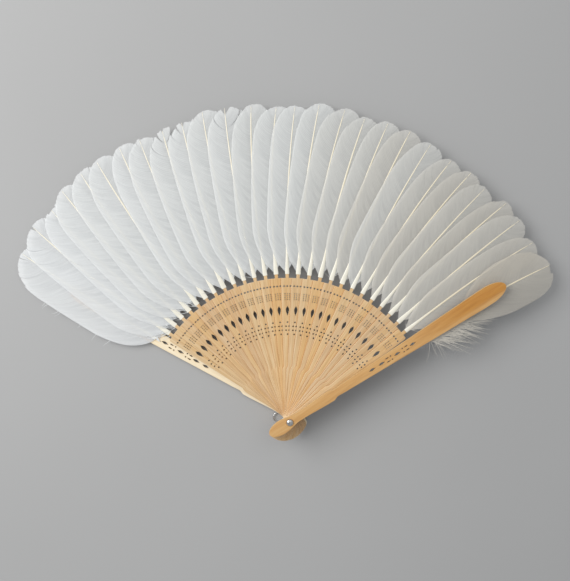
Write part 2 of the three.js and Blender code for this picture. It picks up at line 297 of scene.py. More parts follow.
def vaneMaterial(name, look):
    material, tree, shader = newMaterial(name)
    place = addNode(tree, "ShaderNodeUVMap", {"uv_map": "barbs"}).outputs["UV"]
    streak = drawnNoise(tree, place, look["barb"], look["barbDetail"], look["barbRough"])
    clump = drawnNoise(tree, place, look["clump"], look["clumpDetail"], look["clumpRough"])
    spot = addNode(tree, "ShaderNodeSeparateXYZ", Vector=place)
    # the tone runs across the fan; its darker warm end is partly a cream tint and partly painted shade
    colour = rampNode(tree, pieceTone(tree), look["toneStops"], (look["cool"], look["plain"], look["warm"]))
    fine = rampNode(tree, streak, look["barbStops"], (look["barbShade"], white))
    wide = rampNode(tree, clump, look["clumpStops"], (look["clumpShade"], white))
    # painted shade across each feather: white at the left vane's edge, darker towards the rachis and darker
    # still over the right vane, where the next feather lies over it
    side = rampNode(tree, spot.outputs["X"], look["paintedShadeStops"], (white, look["rachisPaintedShade"], look["rightVanePaintedShade"]))
    for shade in (fine, wide, side):
        colour = multiply(tree, colour, shade)
    tree.links.new(colour, shader.inputs["Base Color"])
    linkRough(tree, shader, clump, look["rough"])
    linkBump(tree, shader, streak, look)
    shader.inputs["Alpha"].default_value = look["cover"]
    shader.inputs["Sheen Weight"].default_value = look["sheen"]
    shader.inputs["Sheen Roughness"].default_value = look["sheenRough"]
    return material


vaneLook = dict(
    toneStops=(0, 0.55, 1),
    # cool, plain and warm run across the fan; the warm end is darker partly as painted shade
    cool=(0.955, 0.975, 0.985), plain=(0.875, 0.89, 0.88), warm=(0.73, 0.69, 0.615),
    barb=(4.4, 95), barbDetail=5, barbRough=0.65, barbStops=(0.3, 0.62), barbShade=(0.885, 0.885, 0.89),
    clump=(2.2, 24), clumpDetail=2, clumpRough=0.5, clumpStops=(0.32, 0.6), clumpShade=(0.925, 0.93, 0.935),
    # the side stops and their two colours are painted shade across each vane
    paintedShadeStops=(0.1, 0.52, 0.85), rachisPaintedShade=(0.91, 0.915, 0.92), rightVanePaintedShade=(0.79, 0.795, 0.80),
    rough=(0.55, 0.72), bump=0.45, bumpReach=0.0001, cover=0.47, sheen=0.15, sheenRough=0.4,
)
downLook = dict(vaneLook, barb=(4.4, 60), cover=0.8)


def hornMaterial(name, look):
    material, tree, shader = newMaterial(name)
    grain = evenNoise(tree, look["scale"], look["detail"], look["noiseRough"])
    horn = rampNode(tree, pieceTone(tree), look["toneStops"], (look["cool"], look["warm"]))
    mottle = rampNode(tree, grain, look["stops"], (look["shade"], white))
    tree.links.new(multiply(tree, horn, mottle), shader.inputs["Base Color"])
    linkRough(tree, shader, grain, look["rough"])
    return material


hornLook = dict(
    scale=180, detail=3, noiseRough=0.5, stops=(0.3, 0.7), shade=(0.92, 0.92, 0.9),
    toneStops=(0.2, 1), cool=(0.86, 0.83, 0.73), warm=(0.83, 0.75, 0.57), rough=(0.3, 0.45),
)


def metalMaterial(name, look):
    material, tree, shader = newMaterial(name)
    # random dark and pale mottle in the metal's colour
    metalMottle = evenNoise(tree, look["scale"], look["detail"], look["noiseRough"])
    colour = rampNode(tree, metalMottle, look["stops"], (look["dark"], look["pale"]))
    tree.links.new(colour, shader.inputs["Base Color"])
    linkRough(tree, shader, metalMottle, look["rough"])
    linkBump(tree, shader, metalMottle, look)
    shader.inputs["Metallic"].default_value = 1
    return material


silverLook = dict(
    scale=750, detail=6, noiseRough=0.7, stops=(0.3, 0.65), dark=(0.24, 0.23, 0.22), pale=(0.80, 0.79, 0.77),
    rough=(0.16, 0.42), bump=0.15, bumpReach=0.00005,
)
wireLook = dict(
    silverLook, scale=1400, dark=(0.60, 0.60, 0.61), pale=(0.80, 0.80, 0.80), rough=(0.2, 0.38),
)

bambooFace = bambooMaterial("stickBamboo", bambooLook)
bambooCut = bambooMaterial("cutBamboo", cutLook)
frontGuardFace = bambooMaterial("frontGuardBamboo", frontGuardLook)
frontGuardEdge = bambooMaterial("frontGuardEdge", frontEdgeLook)
rearGuardFace = bambooMaterial("rearGuardBamboo", rearGuardLook)
vaneWhite = vaneMaterial("featherVane", vaneLook)
downWhite = vaneMaterial("featherDown", downLook)
quillHorn = hornMaterial("quillHorn", hornLook)
rivetSilver = metalMaterial("rivetSilver", silverLook)
wireSteel = metalMaterial("loopWire", wireLook)
print("materials made")


# Bamboo blades: outline and piercing filled flat, extruded to thickness and bevelled; lengths in mm
bladeLook = dict(
    tail=18, tailHalf=4.75, tailCrown=9, hubHalf=3.1, hubRise=9, bulgeRadius=37.5, bulgeHalf=4.3,
    waistRadius=41.9, waistHalf=2.95, ogeeReturn=9, ogeeHalf=3.35, pivotRadius=1.57,
    tailSteps=10, ogeeSteps=6, pivotSegments=20, dotSegments=10, leafSteps=7, leafPower=1.35,
    foldFrom=0.8, levelWithin=0.01, holeSegments=1, flatFrom=0.97, uvScale=0.1, grainSlide=40, seed=11,
)
stickLook = dict(
    thickness=0.8, shoulderRadius=109.2, shoulderHalf=4.7, shoulderRound=1, shoulderSteps=4,
    neckHalf=1.25, neckRise=3, tongueHalf=0.7, tongueLength=4, tongueRise=0.25,
    edge=0.42, edgeSegments=3, holeEdge=0.05,
    lozengeRadius=83.9, lozengeLength=8, lozengeWidth=2.6, lozengeBroad=0.63,
    ringRadius=70.5, ringPitch=3.1, ringHalf=1.2, dotRadius=0.68,
    ringRows=((-1.5, (0,)), (-0.5, (-1, 1)), (0.5, (-1, 1)), (1.5, (0,))),
    rowRadius=103, rowPitch=2.45, rowDot=0.74, rowPlaces=(-1, 0, 1),
    fretRadius=95, fretRows=4, fretColumns=3, fretPitch=1.5, columnPitch=1.8, slitLength=1.2, slitWidth=0.52,
)
guardBlade = dict(bladeLook, tailHalf=5.4, tailCrown=11, hubHalf=3.15, hubRise=8)
guardLook = dict(
    thickness=2, broadRadius=174, broadHalf=7, tipRadius=195, tipRound=16, tipSteps=14,
    edge=0.55, edgeSegments=4, holeEdge=0.1, tone=0.45,
    leafRadii=(111.2, 97.2, 83.2, 74.6), leafLength=6.2, leafWidth=2, leafBroad=0.5,
    clusterRadii=(104.2, 90.2), dotOffset=1.75, dotRadius=0.58,
    dropLength=3.3, dropWidth=1.35, dropSpread=1.45, dropOffset=1.35, dropSteps=12, dropPower=1.2,
)


def easedEdge(start, end, steps):
    points = []
    for i in range(steps):
        share = i / steps
        side = start[0] + (end[0] - start[0]) * smoothStep(share)
        points.append((side, start[1] + (end[1] - start[1]) * share))
    return points


def ogeeEdge(look):
    # one side of a blade from the end of its tail to the return of its ogee
    edge = []
    for i in range(look["tailSteps"]):
        turn = math.pi / 2 * i / look["tailSteps"]
        along = -look["tail"] + look["tailCrown"] * (1 - math.cos(turn))
        edge.append((look["tailHalf"] * math.sin(turn), along))
    stops = [
        (look["tailHalf"], look["tailCrown"] - look["tail"]),
        (look["hubHalf"], look["hubRise"]),
        (look["bulgeHalf"], look["bulgeRadius"]),
        (look["waistHalf"], look["waistRadius"]),
        (look["ogeeHalf"], look["waistRadius"] + look["ogeeReturn"]),
    ]
    for start, end in zip(stops, stops[1:]):
        edge += easedEdge(start, end, look["ogeeSteps"])
    return edge + stops[-1:]


def mirrored(edge):
    # points on the middle line are kept once
    middleBand = 1e-6
    return edge + [(-x, y) for x, y in reversed(edge) if x > middleBand]


def addRing(bm, points):
    verts = [bm.verts.new((x * mm, y * mm, 0)) for x, y in points]
    for first, second in zip(verts, verts[1:] + verts[:1]):
        bm.edges.new((first, second))
    return verts


def addDot(bm, x, y, radius, segments=bladeLook["dotSegments"]):
    spot = Matrix.Translation((x * mm, y * mm, 0))
    bmesh.ops.create_circle(bm, cap_ends=False, segments=segments, radius=radius * mm, matrix=spot)


def addLeaf(bm, y, length, width, broad):
    # pointed at both ends, broadest at the given share of its length
    steps = 2 * bladeLook["leafSteps"]
    side = []
    for i in range(1, steps):
        share = i / steps
        rise = share / broad if share < broad else (1 - share) / (1 - broad)
        half = width / 2 * math.sin(math.pi / 2 * rise) ** bladeLook["leafPower"]
        side.append((half, (share - 0.5) * length))
    points = [(0, -length / 2)] + side + [(0, length / 2)] + [(-a, b) for a, b in reversed(side)]
    addRing(bm, [(a, y + b) for a, b in points])


def addDrop(bm, x, y, heading, look):
    # teardrop, its round end towards the heading
    points = []
    for i in range(look["dropSteps"]):
        turn = 2 * math.pi * i / look["dropSteps"]
        half = look["dropWidth"] / 2 * math.sin(turn) * math.sin(turn / 2) ** look["dropPower"]
        points.append((half, -math.cos(turn) * look["dropLength"] / 2))
    addRing(bm, [(x + heading * a, y + heading * b) for a, b in points])


def addSlit(bm, x, y, length, width, upright):
    across, along = (width, length) if upright else (length, width)
    addRing(bm, [(x - across / 2, y - along / 2), (x + across / 2, y - along / 2),
                 (x + across / 2, y + along / 2), (x - across / 2, y + along / 2)])


def isCorner(edge):
    # a level edge where a flat face meets a wall
    if len(edge.link_faces) != 2 or edge.calc_face_angle() <= bladeLook["foldFrom"]:
        return False
    return abs(edge.verts[0].co.z - edge.verts[1].co.z) < bladeLook["levelWithin"] * mm


def extrudeBlade(bm, rimVerts, look):
    rim = bm.verts.layers.int["rim"]
    for vert in rimVerts:
        vert[rim] = 1
    bmesh.ops.triangle_fill(bm, use_beauty=True, edges=bm.edges[:])
    bmesh.ops.translate(bm, verts=bm.verts[:], vec=(0, 0, -look["thickness"] * mm / 2))
    grown = bmesh.ops.extrude_face_region(bm, geom=bm.faces[:])["geom"]
    bmesh.ops.translate(bm, verts=vertsIn(grown), vec=(0, 0, look["thickness"] * mm))
    bmesh.ops.recalc_face_normals(bm, faces=bm.faces[:])
    bevels = ((0, look["holeEdge"], bladeLook["holeSegments"]), (1, look["edge"], look["edgeSegments"]))
    for wanted, width, segments in bevels:
        corners = [edge for edge in bm.edges if isCorner(edge)]
        edges = [edge for edge in corners if all(vert[rim] == wanted for vert in edge.verts)]
        bmesh.ops.bevel(bm, geom=edges, offset=width * mm, offset_type="OFFSET", affect="EDGES",
                        segments=segments, profile=0.5, material=-1, clamp_overlap=True)
    for face in bm.faces:
        face.material_index = 0 if abs(face.normal.z) > bladeLook["flatFrom"] else 1


def markBlade(bm, tone, slide):
    # blade UV across and along, slid for each stick so that no two share their grain
    layer = bm.loops.layers.uv.new("blade")
    shade = bm.verts.layers.float.new("tone")
    scale = bladeLook["uvScale"] / mm
    for vert in bm.verts:
        vert[shade] = tone
    for face in bm.faces:
        for loop in face.loops:
            co = loop.vert.co
            loop[layer].uv = (co.x * scale + slide[0], co.y * scale + slide[1])


def stickMesh():
    look = stickLook
    bm = bmesh.new()
    bm.verts.layers.int.new("rim")
    edge = ogeeEdge(bladeLook)
    corner = (look["shoulderHalf"] - look["shoulderRound"], look["shoulderRadius"] - look["shoulderRound"])
    for i in range(look["shoulderSteps"] + 1):
        turn = math.pi / 2 * i / look["shoulderSteps"]
        side = corner[0] + look["shoulderRound"] * math.cos(turn)
        edge.append((side, corner[1] + look["shoulderRound"] * math.sin(turn)))
    neckEnd = look["shoulderRadius"] + look["neckRise"]
    edge += [(look["neckHalf"], look["shoulderRadius"]), (look["neckHalf"], neckEnd)]
    rim = addRing(bm, mirrored(edge))
    addDot(bm, 0, 0, bladeLook["pivotRadius"], bladeLook["pivotSegments"])
    addLeaf(bm, look["lozengeRadius"], look["lozengeLength"], look["lozengeWidth"], look["lozengeBroad"])
    for row, sides in look["ringRows"]:
        y = look["ringRadius"] + row * look["ringPitch"]
        for side in sides:
            addDot(bm, side * look["ringHalf"], y, look["dotRadius"])
    for i in look["rowPlaces"]:
        addDot(bm, i * look["rowPitch"], look["rowRadius"], look["rowDot"])
    for row in range(look["fretRows"]):
        for column in range(look["fretColumns"]):
            x = (column - (look["fretColumns"] - 1) / 2) * look["columnPitch"]
            y = look["fretRadius"] + (row - (look["fretRows"] - 1) / 2) * look["fretPitch"]
            addSlit(bm, x, y, look["slitLength"], look["slitWidth"], (row + column) % 2 == 0)
    extrudeBlade(bm, rim, look)
    tongue = bmesh.ops.create_cube(bm, size=1)["verts"]
    tongueSize = (2 * look["tongueHalf"] * mm, look["tongueLength"] * mm, 2 * look["tongueRise"] * mm)
    bmesh.ops.scale(bm, verts=tongue, vec=tongueSize)
    bmesh.ops.translate(bm, verts=tongue, vec=(0, (neckEnd + look["tongueLength"] / 2) * mm, 0))
    return bm


def guardMesh():
    look = guardLook
    bm = bmesh.new()
    bm.verts.layers.int.new("rim")
    edge = ogeeEdge(guardBlade) + [(look["broadHalf"], look["broadRadius"])]
    for i in range(look["tipSteps"] + 1):
        turn = math.pi / 2 * i / look["tipSteps"]
        along = look["tipRadius"] - look["tipRound"] * (1 - math.sin(turn))
        edge.append((look["broadHalf"] * math.cos(turn), along))
    rim = addRing(bm, mirrored(edge))
    addDot(bm, 0, 0, bladeLook["pivotRadius"], bladeLook["pivotSegments"])
    for radius in look["leafRadii"]:
        addLeaf(bm, radius, look["leafLength"], look["leafWidth"], look["leafBroad"])
    for heading, radius in zip((1, -1), look["clusterRadii"]):
        for side in (-1, 1):
            x = side * look["dropSpread"]
            addDrop(bm, x, radius + heading * look["dropOffset"], heading, look)
            addDot(bm, x, radius - heading * look["dotOffset"], look["dotRadius"])
    extrudeBlade(bm, rim, look)
    return bm


def makeBlades():
    luck = random.Random(bladeLook["seed"])
    slide = bladeLook["grainSlide"]
    plain = stickMesh()
    for node in stickNodes:
        bm = plain.copy()
        markBlade(bm, luck.uniform(0, 1), (luck.uniform(0, slide), luck.uniform(0, slide)))
        label = node.split("_")[1]
        finishPiece(bm, f"stick_{label}_bamboo", f"blade_{label}", node, (bambooFace, bambooCut),
                    bladePlace(node, midHeight(node)))
    plain.free()
    guards = (
        ("rear_guard", "rear_bamboo", (rearGuardFace, rearGuardFace)),
        ("front_guard", "front_bamboo", (frontGuardFace, frontGuardEdge)),
    )
    for node, slot, materials in guards:
        bm = guardMesh()
        markBlade(bm, guardLook["tone"], (0, 0))
        finishPiece(bm, f"{node}_bamboo", node, node, materials, bladePlace(node, midHeight(node)))


makeBlades()
print("bamboo blades made")


# Feathers: quill and rachis, clumps of barbs on both vanes, loose down at the base; lengths in mm
vanePart, quillPart, downPart = 0, 1, 2
featherLook = dict(
    quillStart=112.3, vaneStart=117.7, tipRadius=242, tipDrop=10, droopRatio=0.55, tipSag=0.6,
    tiltRatio=0.05, tiltRamp=25, bowPower=2.3, rachisEnd=8, swellFrom=106, thickness=0.07,
    lowShare=0.2, flank=1.4, reachPower=0.8, alongBend=0.3, sideBend=0.6,
    bulge=0.26, edgeCurl=0.41, curlPower=3, liftRamp=20,
    lengthPlay=(-3, 1.8), wideFirst=1.09, wideLoss=0.13, roundPlay=12, fullPlay=0.5,
    rightWidePlay=(0.95, 1.05), rightRootPlay=(-0.2, 1.4), quillPlay=(0.88, 1.14),
    looseSlots=(1, 2, 3, 4, 5), looseBarbs=22, looseRoot=2.4, downPlay=2,
    tonePlay=0.1, quillTone=0.1, rachisTone=(0.2, 0.7), rachisToneFrom=115, rachisToneRamp=30,
)
innerFeather = dict(
    leftWide=14.6, rightWide=14.5, leftRoot=112.5, rightRoot=115.2, leftReach=8.5, rightReach=22,
    leftLong=37, rightLong=38, leftRound=42, rightRound=17, leftFull=3, rightFull=3.6, swell=46, straight=1,
    bluntShare=0.34, bluntRound=22, bluntWide=0.16,
    quillStart=featherLook["quillStart"], seats=(0, 0), seed=100,
    bow=9.5, bowPlay=2.4, down=0, longer=2, rootPlay=1.3, reachPlay=3, widePlay=0.1, tipPlay=1,
)
guardFeather = dict(
    innerFeather, leftRound=37, rightRound=37, leftFull=3.4, rightFull=3.4,
    straight=0, bluntRound=0, bluntWide=0, bowPlay=0.2, rootPlay=0, reachPlay=0, widePlay=0.01, tipPlay=0,
)
rearFeather = dict(
    guardFeather, leftWide=19.6, rightWide=15, leftRoot=119, rightRoot=116, leftReach=27, leftLong=42,
    swell=58, quillStart=119, seats=(0, 0.25), bow=4.5, down=16, longer=0,
)
frontFeather = dict(
    guardFeather, leftWide=21.8, rightWide=20.7, leftRoot=157, rightRoot=150, leftReach=40, rightReach=46,
    leftLong=46, rightLong=52, swell=0, seats=(0.25, 0), seed=113, bow=10.5, longer=4,
)


def sideName(hand):
    return "left" if hand < 0 else "right"


def vaneShare(radius, tip):
    start = featherLook["vaneStart"]
    return max(0, (radius - start) / (tip - start))


def featherHeight(slot, side, along):
    # the stack closes up towards the tips and every vane leans alike, as the frame's feathers do
    look = featherLook
    radius = math.hypot(side, along)
    share = vaneShare(radius, look["tipRadius"])
    droop = (slot * slotPitch / mm * look["droopRatio"] + look["tipSag"]) * share * share
    return -droop - look["tiltRatio"] * smoothStep((radius - look["vaneStart"]) / look["tiltRamp"]) * side


def rachisShift(feather, radius):
    return feather["bow"] * vaneShare(radius, feather["tip"]) ** featherLook["bowPower"]


def edgeWidth(feather, name, radius):
    # a left vane that swells does so past the next rachis, and every vane draws in to a rounded tip
    wide = feather[name + "Wide"]
    if name == "left" and feather["swell"]:
        wide *= math.sin(math.pi / 2 * min(1, (radius - featherLook["swellFrom"]) / feather["swell"]))
    share = min(1, max(0, (radius - feather["tip"]) / feather[name + "Round"] + 1))
    return wide * math.sqrt(max(0, 1 - share ** feather[name + "Full"]))


def barbPoint(feather, hand, out, rise):
    # a point on one barb: out from rachis to edge, rise from the lowest barb to the tip
    look = featherLook
    name = sideName(hand)
    root = feather[name + "Root"]
    last = feather["tip"] - look["rachisEnd"]
    start = root + (last - root) * rise
    upper = smoothStep(rise / look["lowShare"])
    reach = feather[name + "Reach"] * (1 - upper) + feather[name + "Long"] * upper
    reach = reach * (1 - rise) ** look["reachPower"] + look["rachisEnd"] * rise
    wide = edgeWidth(feather, name, start + reach)
    bend = 1 - feather["straight"] * (1 - upper)  # an inner feather's lowest barbs run straight
    along = start + reach * out ** (1 + look["alongBend"] * bend)
    flank = look["flank"] * (1 - upper)  # the lowest barbs leave the side of the quill
    side = hand * (flank + (wide - flank) * (1 - (1 - out) ** (1 + look["sideBend"] * bend)))
    return side + rachisShift(feather, along), along


def vaneLift(out, radius):
    # each vane swells a little and its edge curls down on to the feather below
    look = featherLook
    share = vaneShare(radius, look["tipRadius"])
    ramp = smoothStep((radius - look["quillStart"]) / look["liftRamp"])
    room = (1 - look["droopRatio"] * share * share) * ramp
    curl = look["edgeCurl"] * out ** look["curlPower"]
    return room * (look["bulge"] * math.sin(math.pi * min(1, out)) - curl)


# Clumps of barbs; a play that grows has its size at the root, what the tip adds and how late that comes
clumpLook = dict(
    barbPitch=1.5, rowsPerBarb=4, columns=8, barbs=(4, 11), lift=0.03, ridge=0.03, ridgeFade=0.5,
    closedSplit=0.003, openSplit=(0.03, 0.1), splitPower=1.5, uvPower=4,
    splitChance=(0.025, 0.1, 6), trimPlay=(0.014, 0.05, 5), endPlay=(0.01, 0.022, 4),
    tornSlots=(8, 9, 11), tornFrom=0.91, tornSplit=(0.12, 0.35), tornTrim=0.14,
)


def growing(play, rise):
    root, added, power = play
    return root + added * rise ** power


def addVane(bm, feather, hand, luck):
    look = clumpLook
    length = feather["tip"] - featherLook["rachisEnd"] - feather[sideName(hand) + "Root"]
    barbs = round(length / look["barbPitch"])
    layer = bm.loops.layers.uv.active
    first = 0
    while first < barbs:
        count = min(barbs - first, luck.randint(*look["barbs"]))
        rows = count * look["rowsPerBarb"]
        low, high = first / barbs, (first + count) / barbs
        middle = (low + high) / 2
        split = luck.uniform(0, look["closedSplit"])
        if luck.random() < growing(look["splitChance"], middle):
            split = luck.uniform(*look["openSplit"])
        lift = luck.uniform(-look["lift"], look["lift"])
        trim = 1 - abs(luck.gauss(0, growing(look["trimPlay"], middle)))
        if feather["slot"] in look["tornSlots"] and middle > look["tornFrom"]:
            split = luck.uniform(*look["tornSplit"])  # a torn tip ends in separate points
            trim -= luck.uniform(0, look["tornTrim"])
        ragged = growing(look["endPlay"], middle)
        ends = [1 - abs(luck.gauss(0, ragged)) for _ in range(rows + 1)]
        grid = bmesh.ops.create_grid(bm, x_segments=look["columns"], y_segments=rows, size=0.5)["verts"]
        shares = {}
        for vert in grid:
            out = vert.co.x + 0.5
            row = round((vert.co.y + 0.5) * rows)
            rise = low + (high - low) * row / rows
            shares[vert] = (out, rise)
            closed = middle + (rise - middle) * (1 - split * out ** look["splitPower"])
            side, along = barbPoint(feather, hand, out * trim * ends[row], closed)
            wave = math.cos(2 * math.pi * row / look["rowsPerBarb"])
            ridge = look["ridge"] * wave * (1 - look["ridgeFade"] * out)
            height = featherHeight(feather["slot"], side, along) + ridge + lift * out * out
            height += vaneLift(out, along)
            vert.co = (side * mm, along * mm, height * mm)
        for face in facesAt(grid):
            face.material_index = vanePart
            for loop in face.loops:
                out, rise = shares[loop.vert]
                loop[layer].uv = (0.5 + hand * out * (1 - rise ** look["uvPower"]) / 2, rise)
        first += count


# Loose barbs; turns and bends in degrees
strandLook = dict(steps=6, taper=0.85)
fringeLook = dict(
    count=7, out=0.97, rise=(0.02, 0.6), turn=(-95, -55), length=(3, 7), bend=(-40, 60), width=(0.2, 0.35),
)
looseLook = dict(
    side=0.8, drop=0, lift=0, root=(-1, 5), lower=(0, 5), turn=(30, 75), length=(6, 13), curl=(0.2, 0.8),
    width=(0.25, 0.5),
)
crossingLook = dict(looseLook, side=-1, drop=0.3, lift=0.42)
softLook = dict(
    count=150, side=1, root=(120, 158), turn=(30, 58), length=(22, 43), shorter=0.3, bend=(-16, 16),
    width=(0.35, 0.75), drop=(0, 0.4),
)
wispLook = dict(
    count=7, side=4, root=(120, 132), turn=(72, 138), length=(16, 26), bend=(-30, 30),
    width=(0.3, 0.45), drop=(0, 0.4),
)


def drawAngle(luck, limits):
    return math.radians(luck.uniform(*limits))


def addStrand(bm, feather, start, turn, length, bend, width, drop=0, lift=0):
    # one loose barb: a narrow tapered strip that bends as it runs
    layer = bm.loops.layers.uv.active
    steps = strandLook["steps"]
    strip = bmesh.ops.create_grid(bm, x_segments=1, y_segments=steps, size=0.5)["verts"]
    spots = []
    side, along = start
    for i in range(steps + 1):
        spots.append((side, along, turn))
        side += math.sin(turn) * length / steps
        along += math.cos(turn) * length / steps
        turn += bend / steps
    for vert in strip:
        i = round((vert.co.y + 0.5) * steps)
        side, along, heading = spots[i]
        half = vert.co.x * width * (1 - strandLook["taper"] * i / steps)
        side += half * math.cos(heading)
        along -= half * math.sin(heading)
        height = featherHeight(feather["slot"], side, along) + lift - drop * i / steps
        vert.co = (side * mm, along * mm, height * mm)
    for face in facesAt(strip):
        face.material_index = downPart
        for loop in face.loops:
            loop[layer].uv = (0.5, 0.5)


def addDown(bm, feather, luck):
    # loose barbs below the closed vane, which on the rear feather cross its quill and fringe its edge
    look = looseLook
    if feather["slot"] == 0:
        look = crossingLook
        for _ in range(fringeLook["count"]):
            spot = barbPoint(feather, -1, fringeLook["out"], luck.uniform(*fringeLook["rise"]))
            turn = drawAngle(luck, fringeLook["turn"])
            length = luck.uniform(*fringeLook["length"])
            bend = drawAngle(luck, fringeLook["bend"])
            addStrand(bm, feather, spot, turn, length, bend, luck.uniform(*fringeLook["width"]))
    for hand in (-1, 1):
        loose = feather["looseBarbs"] if hand < 0 else 0
        for _ in range(feather["down"] + loose):
            root = feather[sideName(hand) + "Root"] + luck.uniform(*look["root"])
            if loose:
                root -= luck.uniform(*look["lower"])
            turn = hand * drawAngle(luck, look["turn"])
            length = luck.uniform(*look["length"])
            bend = -turn * luck.uniform(*look["curl"])
            width = luck.uniform(*look["width"])
            start = (hand * look["side"], root)
            addStrand(bm, feather, start, turn, length, bend, width, look["drop"], look["lift"])


def addPlume(bm, feather, luck):
    # soft loose barbs that hang out beyond the front guard's lower edge, and a few stray wisps
    look = softLook
    low, high = look["root"]
    for _ in range(look["count"]):
        root = luck.uniform(low, high)
        turn = drawAngle(luck, look["turn"])
        length = luck.uniform(*look["length"]) * (1 - look["shorter"] * (root - low) / (high - low))
        addStrand(bm, feather, (look["side"], root), turn, length, drawAngle(luck, look["bend"]),
                  luck.uniform(*look["width"]), luck.uniform(*look["drop"]))
    look = wispLook
    for _ in range(look["count"]):
        turn = drawAngle(luck, look["turn"])
        start = (look["side"], luck.uniform(*look["root"]))
        length = luck.uniform(*look["length"])
        addStrand(bm, feather, start, turn, length, drawAngle(luck, look["bend"]),
                  luck.uniform(*look["width"]), luck.uniform(*look["drop"]))


# Quill and rachis; a station has its half width, its crown above the vane and its belly below
rachisLook = dict(
    sides=12, finer=4, tipGap=1.8, lastGap=8, seatFade=20, socketDepth=4.3, socketWall=0.1,
    quill=(1.78, 0.4, 0.4), nearTip=(0.38, 0.17, 0.06), tip=(0.15, 0.1, 0.05),
    stations=(
        (featherLook["vaneStart"], 1.58, 0.4, 0.4), (125, 1.12, 0.38, 0.3), (136, 0.83, 0.34, 0.2),
        (155, 0.78, 0.3, 0.14), (180, 0.67, 0.26, 0.1), (205, 0.54, 0.21, 0.08),
    ),
)


def finerStations(rows, steps):
    # straight blends between the given stations, so that the rachis keeps to the vane's curve
    fine = []
    for first, second in zip(rows, rows[1:]):
        for i in range(steps):
            fine.append(tuple(a + (b - a) * i / steps for a, b in zip(first, second)))
    return fine + [rows[-1]]


def addRachis(bm, feather):
    # one ring extruded from station to station, thicker where it sits on a guard
    look = rachisLook
    crownSeat, underSeat = feather["seats"]
    end = feather["tip"] - look["tipGap"]
    stations = [*look["stations"], (end - look["lastGap"], *look["nearTip"]), (end, *look["tip"])]
    stations = [row for row in stations if row[0] > feather["quillStart"]]
    stations = finerStations([(feather["quillStart"], *look["quill"])] + stations, look["finer"])
    ring = bmesh.ops.create_circle(bm, cap_ends=True, segments=look["sides"], radius=1)["verts"]
    cap = ring[0].link_faces[0]
    edges = edgesAt(ring)
    rounds = [ring]
    for _ in stations[1:]:
        grown = bmesh.ops.extrude_edge_only(bm, edges=edges)["geom"]
        rounds.append(vertsIn(grown))
        edges = edgesWithin(edgesIn(grown), rounds[-1])
    bmesh.ops.edgeloop_fill(bm, edges=edges)
    for verts, (along, half, crown, under) in zip(rounds, stations):
        seat = min(1, max(0, 1 - (along - featherLook["vaneStart"]) / look["seatFade"]))
        shift = rachisShift(feather, along)
        for vert in verts:
            side = vert.co.x * half * feather["quillWide"] + shift
            up = vert.co.y * (crown + crownSeat * seat if vert.co.y > 0 else under + underSeat * seat)
            vert.co = (side * mm, along * mm, (up + featherHeight(feather["slot"], side, along)) * mm)
    faces = facesAt(vert for verts in rounds for vert in verts)
    bmesh.ops.recalc_face_normals(bm, faces=list(faces))
    if not any(feather["seats"]):
        # hollow at its start, over the tongue of its stick
        wall = look["socketWall"] * mm
        inner = bmesh.ops.inset_region(bm, faces=[cap], thickness=wall, use_even_offset=True)
        bmesh.ops.translate(bm, verts=cap.verts[:], vec=(0, look["socketDepth"] * mm, 0))
        faces |= set(inner["faces"])
    for face in faces:
        face.material_index = quillPart


def shapedFeather(shape, slot, luck):
    # one feather's own sizes: its slot sets how long and wide it is, and luck varies it
    look = featherLook
    feather = dict(shape, slot=slot)
    share = slot / lastSlot
    feather["tip"] = look["tipRadius"] - look["tipDrop"] * share * share + luck.uniform(*look["lengthPlay"])
    feather["tip"] += shape["longer"]
    feather["bow"] += luck.uniform(-1, 1) * shape["bowPlay"]
    play = luck.uniform(-1, 1) * shape["widePlay"]
    feather["leftWide"] *= look["wideFirst"] - look["wideLoss"] * share + play
    blunt = max(0, 1 - share / shape["bluntShare"])  # the feathers at the left overlap more and end blunter
    feather["leftWide"] *= 1 + shape["bluntWide"] * blunt
    play = luck.uniform(-look["roundPlay"], look["roundPlay"]) * shape["tipPlay"]
    feather["leftRound"] += play * (1 - blunt) - shape["bluntRound"] * blunt
    feather["leftFull"] += luck.uniform(-look["fullPlay"], look["fullPlay"]) * shape["tipPlay"]
    feather["rightWide"] *= luck.uniform(*look["rightWidePlay"])
    feather["leftRoot"] += luck.uniform(0, shape["rootPlay"])
    feather["rightRoot"] += luck.uniform(*look["rightRootPlay"]) * shape["rootPlay"]
    feather["leftReach"] += luck.uniform(-1, 1) * shape["reachPlay"]
    feather["quillWide"] = luck.uniform(*look["quillPlay"])
    feather["down"] += luck.randint(0, look["downPlay"])
    feather["looseBarbs"] = look["looseBarbs"] if slot in look["looseSlots"] else 0
    if feather["looseBarbs"]:
        feather["leftRoot"] += look["looseRoot"]
    return feather


def markFeather(bm, tone):
    # one tone for the vanes, from cool white at the fan's left to a darker warm grey at its right, partly a
    # cream tint and partly painted shade where the light falls off; the quill starts pale and warms up along
    # the rachis
    look = featherLook
    shade = bm.verts.layers.float.new("tone")
    for vert in bm.verts:
        vert[shade] = tone
    first, added = look["rachisTone"]
    for face in bm.faces:
        if face.material_index == quillPart:
            for vert in face.verts:
                share = smoothStep((vert.co.y / mm - look["rachisToneFrom"]) / look["rachisToneRamp"])
                vert[shade] = look["quillTone"] + (first + added * tone) * share


